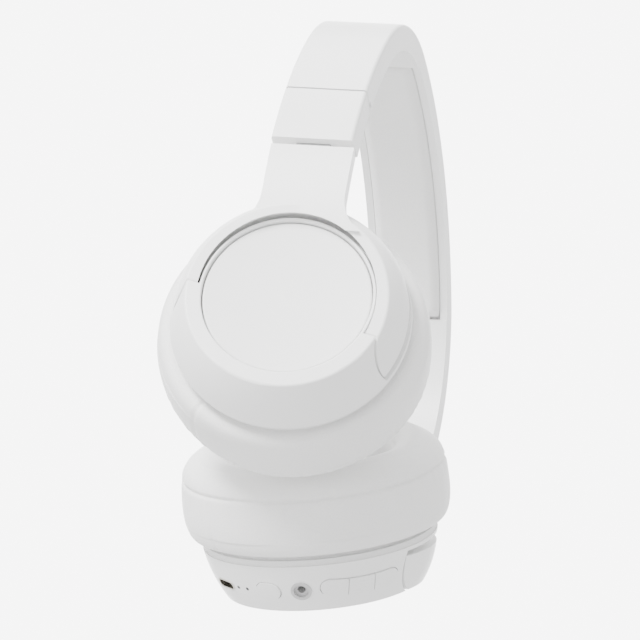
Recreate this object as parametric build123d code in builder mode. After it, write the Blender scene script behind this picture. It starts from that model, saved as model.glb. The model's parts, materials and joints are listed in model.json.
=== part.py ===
"""Foldable wireless over-ear headphones, modelled piece by piece.

Millimetres. The origin is the middle of the headband pad's inner face, where the band rests on
the head. +Z is up, +X is the wearer's right, +Y is the wearer's front.
"""

import os
from math import cos, radians, sin, tan

from build123d import *

os.makedirs("parts", exist_ok=True)

# ---------------------------------------------------------------- headband arch (outer surface)
BAND_HALF_WIDTH = 83.2  # widest point of the arch, from the middle plane
SHOULDER_RADIUS = 50.0
ARM_RADIUS = 107.0
SHOULDER_LOW = 11.0  # degrees of the surface normal where the shoulder arc meets the arm arc
SHOULDER_HIGH = 70.0  # degrees where the shoulder arc meets the crown arc
BAND_WIDTH = 25.4  # front to back
BAND_DEPTH = 8.2  # outer skin to the pad's inner face
SHELL_THICKNESS = 3.0
SPRING_THICKNESS = 0.8
SPRING_WIDTH = 14.0
COVER_THICKNESS = 2.2
PAD_WIDTH = 20.4
PAD_END = 64.5  # degrees of the surface normal where the pad stops
PAD_GAP = 0.15
LIP_DEPTH = 7.2  # inner face of the rails beside the pad
EDGE_ROUND = 1.1

# ---------------------------------------------------------------- fold hinge and end caps
SEAM_ANGLE = -5.0  # degrees of the surface normal at the fold seam
CAP_ANGLE = -16.2  # degrees at the lower end of the end cap
SEAM_GAP = 0.35
FOLD_AXIS_DEPTH = 7.2  # from the outer skin
PIN_RADIUS = 0.8
EAR_RADIUS = 1.65
EAR_NEAR = 5.2
EAR_WIDTH = 3.8
EAR_CLEARANCE = 0.2
BARREL_CLEARANCE = 0.3
RUNNING_CLEARANCE = 0.05
BRACKET_SPAN = 7.0  # degrees of arm arc covered by the bracket's plate
BRACKET_OUTER = 5.3
BRACKET_INNER = 7.7
CAP_SPLIT = 4.1  # depth of the joint between the two halves of an end cap
SCREW_RADIUS = 0.9
SCREW_HEAD_RADIUS = 1.7
SCREW_HEAD_HEIGHT = 1.1
CAP_SCREW_ANGLE = -11.5
CAP_SCREW_SPREAD = 9.4  # each screw's distance from the middle, front to back
CAP_SCREW_LENGTH = 6.4

# ---------------------------------------------------------------- slider
SLIDER_WIDTH = 10.4
SLIDER_THICKNESS = 1.8
SLIDER_CLEARANCE = 0.1
SLIDER_DEPTH = 4.1  # middle of the strip, from the outer skin at the end cap's middle
SLIDER_TOP = 8.0  # reach of the strip above and below the end cap's middle
SLIDER_BOTTOM = 20.4
SLOT_TOP = 8.5
SLIDE_TRAVEL = 14.0

# ---------------------------------------------------------------- yoke
YOKE_GAP = 1.4  # degrees of arm arc left open under the end cap
FORK_ANGLE = 28.5  # downward tilt of the fork's outward normal
FORK_TOE = 5.0  # turn of the fork's outward normal towards the back
STEM_THICKNESS = 5.6
FORK_FRONT = 10.0  # front face of the fork, from the pivot axis
FORK_BACK = -2.0  # back face of the fork
FORK_FRONT_RADIUS = 30.6
FORK_BACK_RADIUS = 35.4
FORK_BULGE = 0.7
FORK_ROUND = 1.0
FORK_BORE = 28.7  # spherical inner face of the fork
FORK_BORE_RISE = 0.9  # the bore's centre sits above the pivot axis, which opens a crescent
FORK_TIP_RADIUS = 10.4  # rounded ends of the fork, about the pivot axis
STEM_BLEND = 13.0
STEM_INSET = 0.8  # how far the stem's foot stays inside the fork's front edge
PIVOT_SLOPE = 12.0  # degrees that the pivot axis rises towards the front
PIVOT_PIN_RADIUS = 1.2
PIVOT_PIN_LENGTH = 6.4

# ---------------------------------------------------------------- ear cups (depths from the pivot axis)
LEFT_CUP_SWING = 6.0  # degrees that the left cup's top leans in from the fork's plane, at rest
RIGHT_CUP_SWING = 4.0
CAP_RADIUS = 25.2
CAP_RIM_DEPTH = 9.0
CAP_DISH = 0.9
CAP_GAP = 0.3
CAP_ROUND = 0.6
BEZEL_DEPTH = 10.0
BEZEL_RADIUS = 30.2
BEZEL_ROUND = 0.9
LIP_ROUND = 0.4
HOUSING_BACK = -5.5
HOUSING_RADIUS = 36.2
HOUSING_BULGE = 0.8
NECK_SPHERE = 28.1  # upper shoulder of the housing, inside the fork
LEDGE_DEPTH = -4.4
TIP_GAP = 0.6
CAVITY_RADIUS = 26.0
CAVITY_TOP = 4.9
POCKET_FLOOR = 6.3
BAFFLE_RADIUS = 35.7
BAFFLE_THICKNESS = 1.8
CARRIER_OUTER = 34.0
CARRIER_INNER = 25.6
CARRIER_THICKNESS = 1.2
CUSHION_RADIUS = 41.0
CUSHION_HOLE_RADIUS = 23.5
CUSHION_FACE = -35.0
CUSHION_ROUND = 7.5
CUSHION_GAP = 0.1
SCREEN_RADIUS = 23.2
SCREEN_THICKNESS = 0.6
DRIVER_RADIUS = 20.0
DRIVER_BORE = 17.2
DRIVER_FLANGE = 1.2
DRIVER_HEIGHT = 4.5
MAGNET_RADIUS = 9.0
MAGNET_HEIGHT = 3.4
DIAPHRAGM_THICKNESS = 0.3
VENT_RADIUS = 0.8
VENT_COUNT = 12
VENT_CIRCLE = 21.6
BAFFLE_SCREW_CIRCLE = 29.0
BAFFLE_SCREW_ANGLES = (-140.0, -90.0, -40.0)
BAFFLE_SCREW_LENGTH = 2.3

# ---------------------------------------------------------------- controls on the right cup
CONTROL_DEPTH = 2.6  # their middle, from the pivot axis
CONTROL_HEIGHT = 5.8
KEY_PROUD = 0.45
KEY_THICKNESS = 2.4
KEY_CLEARANCE = 0.2
KEY_TRAVEL = 0.4
KEY_WELL = 6.6
VOLUME_ANGLE = 34.5  # degrees from straight down, towards the back
VOLUME_LENGTH = 25.0
VOLUME_SPLITS = (-4.2, 4.2)
PAIR_ANGLE = -15.0
PAIR_LENGTH = 8.2
JACK_ANGLE = 3.0
JACK_OUTER_RADIUS = 3.2
JACK_BORE_RADIUS = 1.3
JACK_DISH_RADIUS = 2.3
JACK_LENGTH = 13.0
JACK_BORE_LENGTH = 11.0
USB_ANGLE = -46.0
USB_LENGTH = 9.0
USB_HEIGHT = 3.4
USB_DEPTH = 7.0
USB_WALL = 0.5
LAMP_ANGLE = -35.0
MICROPHONE_ANGLE = -28.5
LAMP_RADIUS = 0.6
LAMP_LENGTH = 2.4
BOARD_RADIUS = 18.0
BOARD_DEPTH = 3.2
BOARD_THICKNESS = 1.2
BATTERY_SIZE = (16.0, 5.8, 6.0)
BATTERY_DROP = 21.3

# ================================================================ frames and outlines
arm_x = BAND_HALF_WIDTH - ARM_RADIUS
shoulder_x = arm_x + (ARM_RADIUS - SHOULDER_RADIUS) * cos(radians(SHOULDER_LOW))
CROWN_RADIUS = SHOULDER_RADIUS + shoulder_x / cos(radians(SHOULDER_HIGH))
crown_z = BAND_DEPTH - CROWN_RADIUS
shoulder_z = crown_z + shoulder_x * tan(radians(SHOULDER_HIGH))
arm_z = shoulder_z - (ARM_RADIUS - SHOULDER_RADIUS) * sin(radians(SHOULDER_LOW))
CAP_MIDDLE = (SEAM_ANGLE + CAP_ANGLE) / 2
FRONT_REACH = 60.0  # larger than any ear cup, for cutting solids
REVOLVE_START = -65.0  # degrees around a cup where its revolved solids begin, clear of every cut


def arch_point(angle, depth=0.0):
    """The point of the arch's right half whose surface normal stands at this angle."""
    if angle >= SHOULDER_HIGH:
        x, z, radius = 0.0, crown_z, CROWN_RADIUS
    elif angle >= SHOULDER_LOW:
        x, z, radius = shoulder_x, shoulder_z, SHOULDER_RADIUS
    else:
        x, z, radius = arm_x, arm_z, ARM_RADIUS
    reach = radius - depth
    return x + reach * cos(radians(angle)), z + reach * sin(radians(angle))


def arch_arcs(low, high, depth):
    """Tangent arcs along the arch's right half between two normal angles."""
    stops = [low] + [a for a in (SHOULDER_LOW, SHOULDER_HIGH) if low < a < high] + [high]
    for start, end in zip(stops, stops[1:]):
        if end == high:
            middle = arch_point((start + end) / 2, depth)
            last = arch_point(end, depth)
        else:
            middle = arch_point((start + end) / 2, depth)
            last = arch_point(end - 1e-9, depth)
        ThreePointArc(arch_point(start, depth), middle, last)


def arch_outline(low, high, outer, inner, side=1):
    """The side view of a layer between two depths, from one normal angle up to another."""
    with BuildSketch(Plane.XZ) as outline:
        with BuildLine():
            arch_arcs(low, high, outer)
            arch_arcs(low, high, inner)
            Line(arch_point(low, outer), arch_point(low, inner))
            Line(arch_point(high, outer), arch_point(high, inner))
        make_face()
        if side < 0:
            mirror(about=Plane.YZ, mode=Mode.REPLACE)
    return outline.sketch


def whole_outline(low, outer, inner):
    """The side view of a layer that runs over the crown, down to one normal angle each side."""
    with BuildSketch(Plane.XZ) as outline:
        add(arch_outline(low, 90.0, outer, inner))
        add(arch_outline(low, 90.0, outer, inner, side=-1))
    return outline.sketch


class Seat:
    """A local frame: u across, v up and n outwards from a centre."""

    def __init__(self, centre, across, outward):
        self.centre = Vector(centre)
        self.n = Vector(outward).normalized()
        self.u = (Vector(across) - self.n * Vector(across).dot(self.n)).normalized()
        self.v = self.n.cross(self.u)
        self.axis = Axis(self.centre, self.n)

    def face(self, depth=0.0):
        """The plane square to the outward axis, at a depth."""
        return Plane(self.centre + self.n * depth, x_dir=self.u, z_dir=self.n)

    def section(self):
        """The plane through the axis: x is radial and y is outwards."""
        turn = radians(REVOLVE_START)
        radial = self.u * cos(turn) + self.v * sin(turn)
        return Plane(self.centre, x_dir=radial, z_dir=radial.cross(self.n))


def fork_seat(side):
    """The frame of one fork: its centre is the middle of the pivot axis."""
    tilt = radians(FORK_ANGLE)
    toe = radians(FORK_TOE)
    top_x, top_z = arch_point(-FORK_ANGLE)
    x = top_x - FORK_FRONT * cos(tilt) - FORK_FRONT_RADIUS * sin(tilt)
    z = top_z + FORK_FRONT * sin(tilt) - FORK_FRONT_RADIUS * cos(tilt)
    outward = (side * cos(tilt) * cos(toe), -sin(toe), -sin(tilt) * cos(toe))
    return Seat((side * x, 0, z), (0, side, 0), outward)


def pivot_direction(side, seat):
    """The pivot axis, which points to the front and rises towards it."""
    slope = radians(PIVOT_SLOPE)
    return (seat.u * (side * cos(slope)) + seat.v * sin(slope)).normalized()


def cup_seat(side, swing):
    """The fork's frame turned about the pivot axis, so that the cup's top leans inwards."""
    fork = fork_seat(side)
    turn = Axis((0, 0, 0), pivot_direction(side, fork))
    return Seat(fork.centre, fork.u.rotate(turn, -side * swing), fork.n.rotate(turn, -side * swing))


def slide_direction(side):
    """Down the chord of the end cap."""
    turn = radians(CAP_MIDDLE)
    return Vector(side * sin(turn), 0, -cos(turn))


def slide_plane(side):
    """Square to the slider strip, at the end cap's middle: x runs front to back."""
    x, z = arch_point(CAP_MIDDLE, SLIDER_DEPTH)
    return Plane((side * x, 0, z), x_dir=(0, 1, 0), z_dir=slide_direction(side))


def strip(side, top, bottom, width, thickness):
    """A straight strip along the slide, from above the end cap's middle to below it."""
    with BuildPart() as piece:
        with BuildSketch(slide_plane(side).offset(-top)):
            Rectangle(width, thickness)
        extrude(amount=top + bottom)
    return piece.part


def fold_point(side):
    x, z = arch_point(SEAM_ANGLE, FOLD_AXIS_DEPTH)
    return Vector(side * x, 0, z)


def fold_rods(side, radius, near, far):
    """Round rods along the fold axis, each side of the middle between two distances."""
    with BuildPart() as rods:
        centre = fold_point(side)
        with BuildSketch(Plane.XZ.offset(near)):
            with Locations((centre.X, centre.Z)):
                Circle(radius)
        extrude(amount=far - near)
        mirror(about=Plane.XZ)
    return rods.part


def turned(seat, points, bulge=None, rounds=()):
    """A solid of revolution about a seat's axis from (radius, depth) corners.

    bulge is (start, end, rise): the straight side between those two corners becomes an arc that
    swells by that rise. rounds lists (corner, radius) pairs.
    """
    with BuildPart() as piece:
        with BuildSketch(seat.section()) as outline:
            with BuildLine():
                for start, end in zip(points, points[1:] + points[:1]):
                    if bulge and (start, end) == bulge[:2]:
                        ThreePointArc(start, swollen(start, end, bulge[2]), end)
                    else:
                        Line(start, end)
            make_face()
            for corner, radius in rounds:
                fillet(outline.vertices().sort_by_distance(corner)[0], radius)
        revolve(axis=seat.axis)
    return piece.part


def swollen(start, end, rise):
    """The middle of a side, moved out by a rise on the side away from the axis."""
    along = Vector(end[0] - start[0], end[1] - start[1]).normalized()
    out = Vector(abs(along.Y), along.X * (-1 if along.Y > 0 else 1))
    return (start[0] + end[0]) / 2 + out.X * rise, (start[1] + end[1]) / 2 + out.Y * rise


def above_pivots(side, seat, tip_radius, low, high):
    """Everything above the pivot axis, and a round region about it, between two depths."""
    plane = Plane(seat.centre, x_dir=pivot_direction(side, seat) * side, z_dir=seat.n)
    with BuildPart() as region:
        with BuildSketch(plane.offset(low)):
            with Locations((0, FRONT_REACH / 2)):
                Rectangle(2 * FRONT_REACH, FRONT_REACH)
        extrude(amount=high - low)
        with BuildSketch(Plane(seat.centre, x_dir=plane.y_dir, z_dir=plane.x_dir)):
            Circle(tip_radius)
        extrude(amount=FRONT_REACH, both=True)
        with BuildSketch(plane.offset(low)):
            Rectangle(2 * FRONT_REACH, 2 * FRONT_REACH)
        extrude(amount=high - low, mode=Mode.INTERSECT)
    return region.part


def ball(seat, radius, rise=0.0):
    with BuildPart() as piece:
        with Locations(seat.centre + seat.v * rise):
            Sphere(radius)
    return piece.part


def pivot_rods(side, seat, radius, near, far):
    """Rods along the pivot axis, one at each end of it."""
    direction = pivot_direction(side, seat)
    with BuildPart() as rods:
        for end in (1, -1):
            with BuildSketch(Plane(seat.centre + direction * (end * near), z_dir=direction * end)):
                Circle(radius)
            extrude(amount=far - near)
    return rods.part


def save(piece, label):
    piece.label = label
    export_step(piece, "parts/" + label + ".step")


# ================================================================ headband
def hinge_bracket(side):
    """A steel plate buried in the band's end, with two ears around the fold axis."""
    high = SEAM_ANGLE + BRACKET_SPAN
    low = SEAM_ANGLE + 2.0
    with BuildPart() as bracket:
        extrude(
            arch_outline(low, high, BRACKET_OUTER, BRACKET_INNER, side),
            amount=EAR_NEAR + EAR_WIDTH,
            both=True,
        )
        extrude(
            arch_outline(SEAM_ANGLE, low, BRACKET_OUTER, BRACKET_INNER, side),
            amount=EAR_NEAR + EAR_WIDTH,
            both=True,
        )
        extrude(
            arch_outline(SEAM_ANGLE - 2.0, low, 0.0, BAND_DEPTH + 1.0, side),
            amount=EAR_NEAR,
            both=True,
            mode=Mode.SUBTRACT,
        )
        add(fold_rods(side, EAR_RADIUS, EAR_NEAR, EAR_NEAR + EAR_WIDTH))
        add(fold_rods(side, PIN_RADIUS, 0.0, BAND_WIDTH), mode=Mode.SUBTRACT)
    return bracket.part


def rounded_band(low, outer, inner, width):
    """A layer over the crown with its outer long edges rounded."""
    with BuildPart() as band:
        extrude(whole_outline(low, outer, inner), amount=width / 2, both=True)
        rims = [CROWN_RADIUS - outer, SHOULDER_RADIUS - outer, ARM_RADIUS - outer]
        edges = band.edges().filter_by(GeomType.CIRCLE)
        edges = edges.filter_by(lambda e: min(abs(e.radius - r) for r in rims) < 1e-4)
        fillet(edges, EDGE_ROUND)
    return band.part


save(rounded_band(SEAM_ANGLE, 0.0, SHELL_THICKNESS, BAND_WIDTH), "headband_shell")

spring_inner = SHELL_THICKNESS + SPRING_THICKNESS
pad_floor = SHELL_THICKNESS + COVER_THICKNESS
brackets = {side: hinge_bracket(side) for side in (-1, 1)}

with BuildPart() as spring_band:
    extrude(
        whole_outline(SHOULDER_LOW + 5.0, SHELL_THICKNESS, spring_inner),
        amount=SPRING_WIDTH / 2,
        both=True,
    )
save(spring_band.part, "spring_band")

with BuildPart() as inner_cover:
    extrude(
        whole_outline(SEAM_ANGLE, SHELL_THICKNESS, BAND_DEPTH), amount=BAND_WIDTH / 2, both=True
    )
    extrude(
        whole_outline(PAD_END, pad_floor, BAND_DEPTH + 1.0),
        amount=PAD_WIDTH / 2 + PAD_GAP,
        both=True,
        mode=Mode.SUBTRACT,
    )
    extrude(
        whole_outline(PAD_END, LIP_DEPTH, BAND_DEPTH + 1.0),
        amount=BAND_WIDTH,
        both=True,
        mode=Mode.SUBTRACT,
    )
    add(spring_band.part, mode=Mode.SUBTRACT)
    for side in (-1, 1):
        add(brackets[side], mode=Mode.SUBTRACT)
        add(
            fold_rods(side, EAR_RADIUS + BARREL_CLEARANCE, 0.0, BAND_WIDTH), mode=Mode.SUBTRACT
        )
save(inner_cover.part, "headband_inner_cover")

with BuildPart() as pad:
    extrude(
        whole_outline(PAD_END + 0.2, pad_floor, BAND_DEPTH), amount=PAD_WIDTH / 2, both=True
    )
    fillet(pad.edges().group_by(Axis.Z)[0], 0.8)
save(pad.part, "headband_pad")


# ================================================================ end caps, sliders and yokes
def end_cap_half(side, outer, inner):
    """One half of the end cap: the inner half carries the hinge barrel."""
    with BuildPart() as half:
        extrude(
            arch_outline(CAP_ANGLE, SEAM_ANGLE - SEAM_GAP, outer, inner, side),
            amount=BAND_WIDTH / 2,
            both=True,
        )
        if outer == 0.0:
            rim = half.edges().filter_by(GeomType.CIRCLE)
            fillet(rim.filter_by(lambda e: abs(e.radius - ARM_RADIUS) < 1e-4), EDGE_ROUND)
        else:
            add(fold_rods(side, EAR_RADIUS, 0.0, EAR_NEAR - EAR_CLEARANCE))
            add(
                fold_rods(
                    side,
                    EAR_RADIUS + BARREL_CLEARANCE,
                    EAR_NEAR - EAR_CLEARANCE,
                    EAR_NEAR + EAR_WIDTH + EAR_CLEARANCE,
                ),
                mode=Mode.SUBTRACT,
            )
            add(
                fold_rods(side, PIN_RADIUS + RUNNING_CLEARANCE, 0.0, BAND_WIDTH),
                mode=Mode.SUBTRACT,
            )
        slot_width = SLIDER_WIDTH + 2 * SLIDER_CLEARANCE
        slot_height = SLIDER_THICKNESS + 2 * SLIDER_CLEARANCE
        add(strip(side, SLOT_TOP, SLIDER_BOTTOM, slot_width, slot_height), mode=Mode.SUBTRACT)
        add(end_cap_screws(side), mode=Mode.SUBTRACT)
    return half.part


def end_cap_screws(side):
    """Two screws that hold the halves of an end cap together, heads sunk in the inner half."""
    x, z = arch_point(CAP_SCREW_ANGLE, BAND_DEPTH)
    turn = radians(CAP_SCREW_ANGLE)
    outward = Vector(side * cos(turn), 0, sin(turn))
    plane = Plane((side * x, 0, z), x_dir=(0, 1, 0), z_dir=outward)
    places = [(CAP_SCREW_SPREAD, 0), (-CAP_SCREW_SPREAD, 0)]
    with BuildPart() as screws:
        with BuildSketch(plane):
            with Locations(places):
                Circle(SCREW_HEAD_RADIUS)
        extrude(amount=SCREW_HEAD_HEIGHT)
        with BuildSketch(plane):
            with Locations(places):
                Circle(SCREW_RADIUS)
        extrude(amount=CAP_SCREW_LENGTH)
    return screws.part


def yoke_outline(seat):
    """The yoke seen face on: the ring's disc and the stem, blended by hollow curves."""
    with BuildSketch(seat.face(FORK_BACK - 6.0)) as outline:
        Circle(FORK_FRONT_RADIUS - STEM_INSET)
        with Locations((0, FRONT_REACH / 2)):
            Rectangle(BAND_WIDTH, FRONT_REACH + 10.0)
        corners = outline.vertices().filter_by_position(Axis.Y, 20.0, 40.0)
        fillet(corners, STEM_BLEND)
    return outline.sketch


def yoke(side, seat):
    """A stem that widens into a two-armed fork with rounded tips."""
    front = (FORK_FRONT_RADIUS, FORK_FRONT)
    back = (FORK_BACK_RADIUS, FORK_BACK)
    corners = [(FORK_BORE - 5.0, FORK_BACK), back, front, (FORK_BORE - 5.0, FORK_FRONT)]
    with BuildPart() as stem:
        extrude(
            arch_outline(
                -FORK_ANGLE - 4.0, CAP_ANGLE - YOKE_GAP, 0.0, STEM_THICKNESS, side
            ),
            amount=BAND_WIDTH,
            both=True,
        )
        extrude(yoke_outline(seat), amount=FORK_FRONT - FORK_BACK + 20.0, mode=Mode.INTERSECT)
    with BuildPart() as piece:
        add(turned(seat, corners, (back, front, FORK_BULGE), [(front, FORK_ROUND)]))
        add(
            above_pivots(side, seat, FORK_TIP_RADIUS, FORK_BACK - 1.0, FORK_FRONT + 1.0),
            mode=Mode.INTERSECT,
        )
        add(stem.part)
        add(ball(seat, FORK_BORE, FORK_BORE_RISE), mode=Mode.SUBTRACT)
        add(
            strip(side, SLIDER_TOP, SLIDER_BOTTOM, SLIDER_WIDTH, SLIDER_THICKNESS),
            mode=Mode.SUBTRACT,
        )
        add(
            pivot_rods(side, seat, PIVOT_PIN_RADIUS, CAVITY_RADIUS, CAVITY_RADIUS + PIVOT_PIN_LENGTH),
            mode=Mode.SUBTRACT,
        )
    return piece.part


SIDES = (("left", -1, LEFT_CUP_SWING), ("right", 1, RIGHT_CUP_SWING))

for name, side, swing in SIDES:
    fork = fork_seat(side)
    save(brackets[side], "hinge_bracket_" + name)
    save(fold_rods(side, PIN_RADIUS, 0.0, EAR_NEAR + EAR_WIDTH), "fold_pin_" + name)
    save(end_cap_half(side, 0.0, CAP_SPLIT), "end_cap_outer_" + name)
    save(end_cap_half(side, CAP_SPLIT, BAND_DEPTH), "end_cap_inner_" + name)
    save(end_cap_screws(side), "end_cap_screws_" + name)
    save(
        strip(side, SLIDER_TOP, SLIDER_BOTTOM, SLIDER_WIDTH, SLIDER_THICKNESS), "slider_" + name
    )
    save(yoke(side, fork), "yoke_" + name)
    save(
        pivot_rods(side, fork, PIVOT_PIN_RADIUS, CAVITY_RADIUS, CAVITY_RADIUS + PIVOT_PIN_LENGTH),
        "pivot_pins_" + name,
    )


# ================================================================ ear cups
wall_front = (BEZEL_RADIUS, BEZEL_DEPTH)
wall_back = (HOUSING_RADIUS, HOUSING_BACK)
wall_run = Vector(wall_front[0] - wall_back[0], wall_front[1] - wall_back[1]).normalized()
wall_middle = swollen(wall_back, wall_front, HOUSING_BULGE)


def wall_radius(depth):
    """The housing wall's radius at a depth, on the chord plus its swell."""
    share = (depth - HOUSING_BACK) / (BEZEL_DEPTH - HOUSING_BACK)
    swell = HOUSING_BULGE * 4 * share * (1 - share)
    return HOUSING_RADIUS + (BEZEL_RADIUS - HOUSING_RADIUS) * share + swell


def wall_plane(seat, angle):
    """A plane on the right cup's side wall, at an angle from straight down towards the back."""
    out = (seat.v * -cos(radians(angle)) - seat.u * sin(radians(angle))).normalized()
    origin = seat.centre + out * wall_radius(CONTROL_DEPTH) + seat.n * CONTROL_DEPTH
    normal = out * wall_run.Y - seat.n * wall_run.X
    return Plane(origin, x_dir=seat.n.cross(out), z_dir=normal)


def wall_slot(seat, angle, length, height, inward, outward):
    """A rounded slot standing on the side wall."""
    with BuildPart() as piece:
        with BuildSketch(wall_plane(seat, angle).offset(-inward)):
            SlotOverall(length, height)
        extrude(amount=inward + outward)
    return piece.part


def wall_rod(seat, angle, radius, inward, outward):
    """A round rod standing on the side wall."""
    with BuildPart() as piece:
        with BuildSketch(wall_plane(seat, angle).offset(-inward)):
            Circle(radius)
        extrude(amount=inward + outward)
    return piece.part


def key_skin(seat):
    """The shell of revolution that the keys are cut from: just proud of the side wall."""
    shift = Vector(wall_run.Y, -wall_run.X)

    def moved(point, amount):
        return (point[0] + shift.X * amount, point[1] + shift.Y * amount)

    inner = KEY_PROUD - KEY_THICKNESS
    back, front = moved(wall_back, KEY_PROUD), moved(wall_front, KEY_PROUD)
    corners = [back, front, moved(wall_front, inner), moved(wall_back, inner)]
    return turned(seat, corners, (back, front, HOUSING_BULGE))


def housing(side, seat):
    """The cup's outer shell, with the cap's pocket, the fork's recess and the pivot holes."""
    lip = CAP_RADIUS + CAP_GAP
    corners = [
        (0.0, CAVITY_TOP),
        (CAVITY_RADIUS, CAVITY_TOP),
        (CAVITY_RADIUS, HOUSING_BACK),
        wall_back,
        wall_front,
        (lip, BEZEL_DEPTH),
        (lip, POCKET_FLOOR),
        (0.0, POCKET_FLOOR),
    ]
    with BuildPart() as recess:
        add(
            above_pivots(
                side, seat, FORK_TIP_RADIUS + TIP_GAP, LEDGE_DEPTH, BEZEL_DEPTH + 2.0
            )
        )
        add(ball(seat, NECK_SPHERE), mode=Mode.SUBTRACT)
    with BuildPart() as shell:
        rounds = [(wall_front, BEZEL_ROUND), ((lip, BEZEL_DEPTH), LIP_ROUND)]
        add(turned(seat, corners, (wall_back, wall_front, HOUSING_BULGE), rounds))
        add(recess.part, mode=Mode.SUBTRACT)
        add(
            pivot_rods(
                side,
                seat,
                PIVOT_PIN_RADIUS + RUNNING_CLEARANCE,
                CAVITY_RADIUS - 1.0,
                CAVITY_RADIUS + PIVOT_PIN_LENGTH,
            ),
            mode=Mode.SUBTRACT,
        )
        add(baffle_screws(seat), mode=Mode.SUBTRACT)
        if side > 0:
            for cut in control_cuts(seat):
                add(cut, mode=Mode.SUBTRACT)
    return shell.part


def control_cuts(seat):
    """Wells and holes in the right cup's side wall."""
    gap = 2 * KEY_CLEARANCE
    return [
        wall_slot(seat, VOLUME_ANGLE, VOLUME_LENGTH + gap, CONTROL_HEIGHT + gap, KEY_WELL, 6.0),
        wall_slot(seat, PAIR_ANGLE, PAIR_LENGTH + gap, CONTROL_HEIGHT + gap, KEY_WELL, 3.0),
        wall_rod(seat, JACK_ANGLE, JACK_OUTER_RADIUS, JACK_LENGTH + 1.0, 3.0),
        wall_slot(seat, USB_ANGLE, USB_LENGTH, USB_HEIGHT, USB_DEPTH, 3.0),
        wall_rod(seat, LAMP_ANGLE, LAMP_RADIUS, LAMP_LENGTH, 2.0),
        wall_rod(seat, MICROPHONE_ANGLE, LAMP_RADIUS, LAMP_LENGTH, 2.0),
    ]


def baffle_screws(seat):
    """Three screws from the baffle into the thick lower wall, heads sunk in the baffle."""
    head_plane = seat.face(HOUSING_BACK - BAFFLE_THICKNESS)
    places = [
        (BAFFLE_SCREW_CIRCLE * cos(radians(a)), BAFFLE_SCREW_CIRCLE * sin(radians(a)))
        for a in BAFFLE_SCREW_ANGLES
    ]
    with BuildPart() as screws:
        with BuildSketch(head_plane):
            with Locations(places):
                Circle(SCREW_HEAD_RADIUS)
        extrude(amount=SCREW_HEAD_HEIGHT)
        with BuildSketch(head_plane):
            with Locations(places):
                Circle(SCREW_RADIUS)
        extrude(amount=BAFFLE_THICKNESS + BAFFLE_SCREW_LENGTH)
    return screws.part


def cup_cap(seat):
    """The round end cover: a thick disc with a shallow dish."""
    rim = (CAP_RADIUS, CAP_RIM_DEPTH)
    middle = (0.0, CAP_RIM_DEPTH - CAP_DISH)
    with BuildPart() as cap:
        with BuildSketch(seat.section()) as outline:
            with BuildLine():
                Line((0.0, POCKET_FLOOR), (CAP_RADIUS, POCKET_FLOOR))
                Line((CAP_RADIUS, POCKET_FLOOR), rim)
                TangentArc(middle, rim, tangent=(1, 0), tangent_from_first=True)
                Line(middle, (0.0, POCKET_FLOOR))
            make_face()
            fillet(outline.vertices().sort_by_distance(rim)[0], CAP_ROUND)
        revolve(axis=seat.axis)
    return cap.part


def baffle(seat):
    """The plate that carries the driver, with a ring of small vents."""
    plane = seat.face(HOUSING_BACK - BAFFLE_THICKNESS)
    with BuildPart() as plate:
        with BuildSketch(plane):
            Circle(BAFFLE_RADIUS)
            Circle(DRIVER_BORE, mode=Mode.SUBTRACT)
            with PolarLocations(VENT_CIRCLE, VENT_COUNT):
                Circle(VENT_RADIUS, mode=Mode.SUBTRACT)
        extrude(amount=BAFFLE_THICKNESS)
        add(baffle_screws(seat), mode=Mode.SUBTRACT)
    return plate.part


def driver_pieces(seat):
    """The 40 mm driver: its basket, its magnet and its diaphragm."""
    base = HOUSING_BACK
    flange = base + DRIVER_FLANGE
    top = base + DRIVER_HEIGHT
    frame = turned(
        seat,
        [
            (DRIVER_BORE, base),
            (DRIVER_RADIUS, base),
            (DRIVER_RADIUS, flange),
            (DRIVER_BORE + 1.0, flange),
            (MAGNET_RADIUS + 1.0, top),
            (0.0, top),
            (0.0, top - 1.0),
            (MAGNET_RADIUS, top - 1.0),
        ],
    )
    magnet = turned(
        seat,
        [(0.0, top), (MAGNET_RADIUS, top), (MAGNET_RADIUS, top + MAGNET_HEIGHT), (0.0, top + MAGNET_HEIGHT)],
    )
    skin = DIAPHRAGM_THICKNESS
    cone = turned(
        seat,
        [
            (0.0, base + 1.4),
            (MAGNET_RADIUS - 1.0, base),
            (DRIVER_BORE, base - skin),
            (DRIVER_BORE, base),
            (MAGNET_RADIUS - 1.0, base + skin),
            (0.0, base + 1.4 + skin),
        ],
    )
    return {"driver_frame": frame, "driver_magnet": magnet, "driver_diaphragm": cone}


def ring(seat, inner, outer, low, high):
    """A flat ring between two depths."""
    with BuildPart() as piece:
        with BuildSketch(seat.face(low)):
            Circle(outer)
            if inner > 0:
                Circle(inner, mode=Mode.SUBTRACT)
        extrude(amount=high - low)
    return piece.part


def cushion(seat, back):
    """The padded ring: square to the cup, round towards the head."""
    with BuildPart() as piece:
        with BuildSketch(seat.section()) as outline:
            with BuildLine():
                Polyline(
                    (CUSHION_HOLE_RADIUS, back),
                    (CUSHION_RADIUS, back),
                    (CUSHION_RADIUS, CUSHION_FACE),
                    (CUSHION_HOLE_RADIUS, CUSHION_FACE),
                    close=True,
                )
            make_face()
            fillet(outline.vertices().group_by(Axis.Y)[0], CUSHION_ROUND)
        revolve(axis=seat.axis)
    return piece.part


carrier_back = HOUSING_BACK - BAFFLE_THICKNESS
cushion_back = carrier_back - CARRIER_THICKNESS - CUSHION_GAP

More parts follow.
